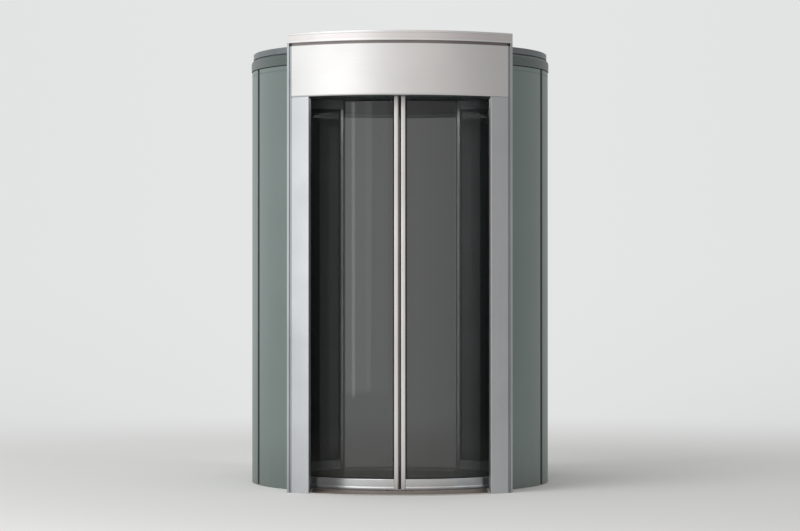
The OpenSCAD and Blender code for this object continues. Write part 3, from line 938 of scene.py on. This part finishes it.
foot_rail = eased([
    (LEAF_OUT, LEAF_Z, 0.002), (LEAF_OUT, LIP_TOP, 0.001), (LEAF_OUT - FOOT_D, SLOPE_TOP, 0.002),
    (LEAF_OUT - FOOT_D, RAIL_TOP, RAIL_EASE), (LEAF_IN + FOOT_D, RAIL_TOP, RAIL_EASE),
    (LEAF_IN + FOOT_D, SLOPE_TOP, 0.002), (LEAF_IN, LIP_TOP, 0.001), (LEAF_IN, LEAF_Z, 0.002)])
head_rail = eased([(LEAF_OUT, HEAD_RAIL, RAIL_EASE), (LEAF_OUT, LEAF_TOP, RAIL_EASE),
                   (LEAF_IN, LEAF_TOP, RAIL_EASE), (LEAF_IN, HEAD_RAIL, RAIL_EASE)])
pane = [(PANE_OUT, RAIL_TOP - BITE), (PANE_OUT, HEAD_RAIL + BITE),
        (PANE_IN, HEAD_RAIL + BITE), (PANE_IN, RAIL_TOP - BITE)]
for end in ENDS:
    swing = REAR_OPEN if end == "rear" else 0.0
    for side in SIDES:
        leaf = f"{end}_{side}_leaf"
        solids = [stile(swing + SEAL_A, swing + STILE_A, LEAD_EASE, PANE_EASE),
                  stile(swing + TRAIL_IN_A, swing + TRAIL_A, PANE_EASE, TRAIL_EASE)]
        piece(leaf + "_stiles", leaf, stile_metal, turn(solids, side, end),
              [leaf + "_frame"])
        a0, a1 = swing + STILE_A, swing + TRAIL_IN_A
        solids = [curved(foot_rail, a0, a1), curved(head_rail, a0, a1)]
        piece(leaf + "_rails", leaf, rail_metal, turn(solids, side, end))
        solids = [curved(pane, a0 - arc_deg(BITE), a1 + arc_deg(BITE), 66)]
        piece(leaf + "_bent_pane", leaf, glass, turn(solids, side, end), [leaf + "_glass"])
        solids = []
        for near, far in GASKET_RUNS:
            for z0, z1 in ((RAIL_TOP, RAIL_TOP + GASKET_W), (HEAD_RAIL, HEAD_RAIL - GASKET_W)):
                profile = eased([(near, z0), (far, z0), (far, (z0 + z1) / 2, 0.002), (near, z1)])
                solids.append(curved(profile, a0, a1))
            for b0, b1 in ((a0, a0 + arc_deg(GASKET_W)), (a1, a1 - arc_deg(GASKET_W))):
                plan = eased([polar(near, b0), polar(far, b0),
                              (*polar(far, (b0 + b1) / 2), 0.002), polar(near, b1)])
                solids.append(upright(plan, [RAIL_TOP, HEAD_RAIL]))
        piece(leaf + "_glazing_gaskets", leaf, rubber, turn(solids, side, end))
        solids = [stile(swing + NOSE_A, swing + SEAL_A, 0.0035, 0.0005, NOSE_IN, NOSE_OUT, 4)]
        piece(leaf + "_rubber_nose", leaf, rubber, turn(solids, side, end),
              [leaf + "_seal"])
        solids = [curved([(r - BRUSH_HALF, BRUSH_Z), (r + BRUSH_HALF, BRUSH_Z),
                          (r + BRUSH_HALF, LEAF_Z), (r - BRUSH_HALF, LEAF_Z)],
                         swing + NOSE_A, swing + TRAIL_A) for r in BRUSH_R]
        piece(leaf + "_brush_holders", leaf, rail_metal, turn(solids, side, end))
        b0, b1 = swing + NOSE_A + 0.1, swing + TRAIL_A - 0.1
        if end == "rear":
            b0, b1 = 180 - b0, 180 - b1
        if side == "left":
            b0, b1 = -b0, -b1
        for row, r in enumerate(BRUSH_R):
            grown(f"{leaf}_bristles_{row + 1}", leaf, bristle_tree, {
                "Radius": r - BRUSH_DEPTH / 2, "Row Depth": BRUSH_DEPTH,
                "Start Angle": b0 * DEG, "End Angle": b1 * DEG,
                "Middle Height": 0.0138, "Length": 0.0085, "Thickness": 0.0006, "Count": 520,
                "Seed": 11 + row}, nylon)
        works, wheels = [], []
        for a in (swing + CARRIAGE_A, swing + TRAIL_A - CARRIAGE_A):
            for r0, r1 in PLATES:
                works.append(block(a, r0, r1, LEAF_TOP - 0.001, PLATE_TOP))
            works.append(block(a, PLATES[0][1], PLATES[1][0], LEAF_TOP, LEAF_TOP + BRIDGE_T))
            across, along = Vector(polar(1.0, a)), Vector(polar(1.0, a + 90))
            for x in (-ROLLER_AT, ROLLER_AT):
                for roller_r, bolt_r in ROLLER_ROWS:
                    centre = (*(across * roller_r + along * x), ROLLER_Z)
                    wheels.append(drum_pin(centre, (*across, 0), ROLLER_R, ROLLER_W))
                    centre = (*(across * bolt_r + along * x), ROLLER_Z)
                    works.append(drum_pin(centre, (*across, 0), BOLT_R, BOLT_L, 6))
        for a in (swing + PIN_A, swing + TRAIL_A - PIN_A):
            works.append(drum_pin((*polar(LEAF_R, a), PIN_Z), (0, 0, 1), PIN_R, PIN_L))
        piece(leaf + "_carriages_and_guide_pins", leaf, black_steel, turn(works, side, end))
        piece(leaf + "_rollers", leaf, nylon, turn(wheels, side, end))


# Studio
# Pale floor that fades into a pale surround. The light is soft, brighter from
# the left, so that the curved metal grades from light to dark as it turns.

FLOOR = ((-500.0, -500.0), (500.0, -500.0), (500.0, 500.0), (-500.0, 500.0))
LAMP_AIM = (0, 0, 1.6)
# The surround's colour by the angle in degrees from the front towards the right.
SURROUND = (
    (-180, "#e5e6e6"), (-150, "#dcdddd"), (-124, "#d8d9d9"), (-100, "#edeeef"),
    (-50, "#fafcfd"), (-15, "#fbf9f8"), (15, "#f2efed"), (50, "#bebcbb"),
    (80, "#bbbaba"), (120, "#c8c8c8"), (150, "#dadbdb"), (180, "#e5e6e6"))


def surround(tree, way):
    """Pale studio wall round the object, a little whiter on the left than on the right."""
    ahead = calc(tree, "MULTIPLY", axis(tree, way, "Y"), -1.0)
    turned = calc(tree, "ARCTAN2", axis(tree, way, "X"), ahead)
    share = remap(tree, turned, (-math.pi, math.pi))
    ramp = add(tree, "ValToRGB", {0: share})
    while len(ramp.color_ramp.elements) < len(SURROUND):
        ramp.color_ramp.elements.new(0.5)
    for element, (angle, code) in zip(ramp.color_ramp.elements, SURROUND):
        element.position = (angle + 180) / 360
        element.color = colour(code)
    return ramp


floor_mesh = bpy.data.meshes.new("studio_floor")
floor_mesh.from_pydata([(x, y, 0) for x, y in FLOOR], [], [(0, 1, 2, 3)])
floor = bpy.data.objects.new("studio_floor", floor_mesh)
scene.collection.objects.link(floor)
floor_paint = bpy.data.materials.new("pale studio floor")
floor_paint.use_nodes = True
tree = floor_paint.node_tree
tree.nodes.clear()
place = add(tree, "TexCoord").outputs["Object"]
far_off = add(tree, "VectorMath", {0: place}, operation="LENGTH").outputs["Value"]
fade = remap(tree, far_off, (2.5, 9.0), interpolation_type="SMOOTHSTEP")
path = add(tree, "LightPath")
seen = calc(tree, "MAXIMUM", path.outputs["Is Camera Ray"], path.outputs["Is Transmission Ray"])
shown = calc(tree, "MAXIMUM", seen, path.outputs["Is Glossy Ray"])
faded = calc(tree, "MULTIPLY", fade, shown)
matt = add(tree, "BsdfDiffuse", {"Color": colour("#d9d9d7")})
glow = add(tree, "Emission", {"Color": surround(tree, place)})
blend = add(tree, "MixShader", {0: faded, 1: matt, 2: glow})
add(tree, "OutputMaterial", {"Surface": blend})
floor_mesh.materials.append(floor_paint)

world = bpy.data.worlds.new("studio_surround")
world.use_nodes = True
scene.world = world
tree = world.node_tree
tree.nodes.clear()
way = add(tree, "TexCoord").outputs["Generated"]
light = add(tree, "Background", {"Color": surround(tree, way), "Strength": 1.0})
add(tree, "OutputWorld", {"Surface": light})


def softbox(name, place, aim, width, height, watts):
    """Area lamp that faces a point, out of the camera's sight."""
    lamp = bpy.data.lights.new(name, "AREA")
    lamp.shape = "RECTANGLE"
    lamp.size, lamp.size_y = width, height
    lamp.energy = watts
    box = bpy.data.objects.new(name, lamp)
    box.location = place
    box.rotation_euler = (Vector(aim) - Vector(place)).to_track_quat("-Z", "Y").to_euler()
    box.visible_camera = False
    scene.collection.objects.link(box)


softbox("key_softbox", (-6.7, -6.0, 3.0), LAMP_AIM, 8.5, 5.5, 96)
softbox("front_softbox", (-2.9, -8.5, 3.0), LAMP_AIM, 3.0, 5.5, 13)
softbox("rear_softbox", (-6.6, 6.1, 3.0), LAMP_AIM, 7.0, 5.5, 45)
softbox("left_strip", (-4.3, -5.5, 2.9), LAMP_AIM, 0.35, 5.2, 9)
# Inside the drum, one lamp under the ceiling and one by each wall light the rear leaves' frames.
softbox("inside_fill", (0.0, 0.0, 2.8), (0.0, 0.001, 0.0), 1.2, 1.2, 34)
softbox("left_inner_fill", (-0.95, 0.0, 1.4), (0.0, 0.3, 1.4), 0.6, 2.7, 12)
softbox("right_inner_fill", (0.95, 0.0, 1.4), (0.0, 0.3, 1.4), 0.6, 2.7, 12)
softbox("top_softbox", (-4.0, -5.0, 9.0), LAMP_AIM, 4.0, 4.0, 210)

# The camera stands where the photograph was taken, with a longer lens.
view = bpy.data.cameras.new("photo_camera")
view.lens = 111.0
view.clip_end = 1500.0
camera = bpy.data.objects.new("photo_camera", view)
camera.location = (0.036, -18.19, 1.500)
look = Vector((0.0, -0.2, 1.585)) - camera.location
camera.rotation_euler = look.to_track_quat("-Z", "Y").to_euler()
scene.collection.objects.link(camera)
scene.camera = camera
scene.view_settings.view_transform = "Standard"
